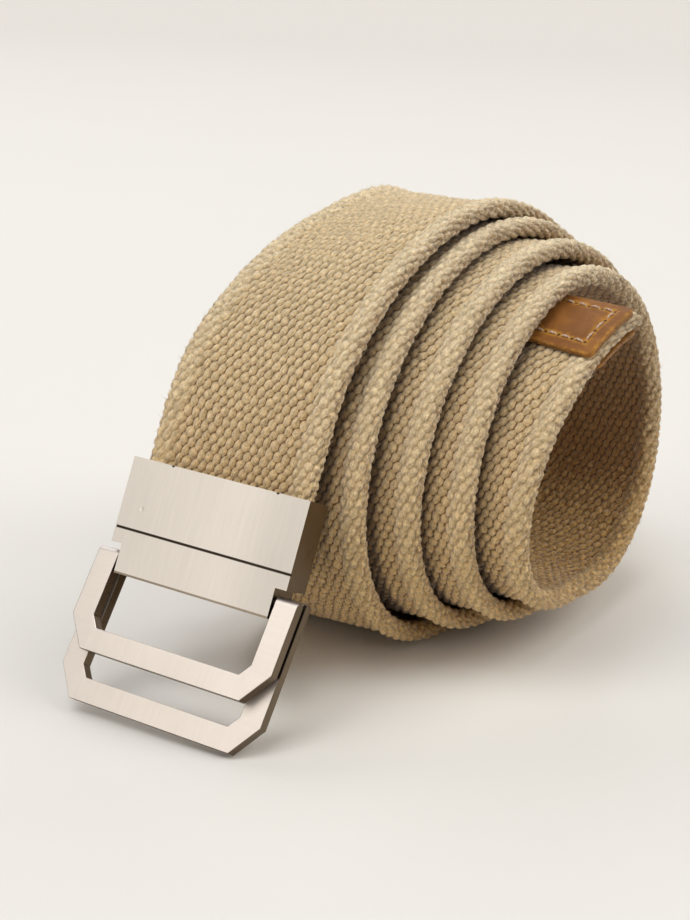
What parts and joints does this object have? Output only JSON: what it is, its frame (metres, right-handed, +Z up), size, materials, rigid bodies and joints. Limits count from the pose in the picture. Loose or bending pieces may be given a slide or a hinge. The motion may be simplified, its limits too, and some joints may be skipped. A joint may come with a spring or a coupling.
{
  "type": "rolled webbing belt with double-loop buckle",
  "caption": "Woven cotton belt rolled up on a table, with a flat metal box buckle whose hinged rectangular loops hang at the front and a stitched leather tip at the inner end.",
  "frame": {"origin": "on the table, under the middle of the object's box", "axes": "+X along the roll's axis towards the end that the inner laps are pushed out of, -Y towards the buckle, +Z up"},
  "size_m": [0.0826, 0.1484, 0.0948],
  "materials": {
    "webbing": "thick khaki cotton weave, matte",
    "tip_leather": "smooth tan leather, slightly waxed",
    "buckle_metal": "brushed warm nickel",
    "pin_metal": "plain steel"
  },
  "bodies": {
    "belt": {"webbing": "webbing", "tip_front": "tip_leather", "tip_back": "tip_leather", "buckle_housing": "buckle_metal", "pin_front": "pin_metal", "pin_rear": "pin_metal"},
    "front_loop": {"loop_front": "buckle_metal"},
    "rear_loop": {"loop_rear": "buckle_metal"}
  },
  "joints": [
    {"name": "front_loop_hinge", "type": "hinge", "parent": "belt", "child": "front_loop", "pos_m": [-0.01762, -0.0566, 0.02695], "axis": [-0.9953, -0.0853, 0.0454], "range_deg": [0, 85]},
    {"name": "rear_loop_hinge", "type": "hinge", "parent": "belt", "child": "rear_loop", "pos_m": [-0.01794, -0.05362, 0.02558], "axis": [-0.9953, -0.0853, 0.0454], "range_deg": [-90, 0]}
  ]
}
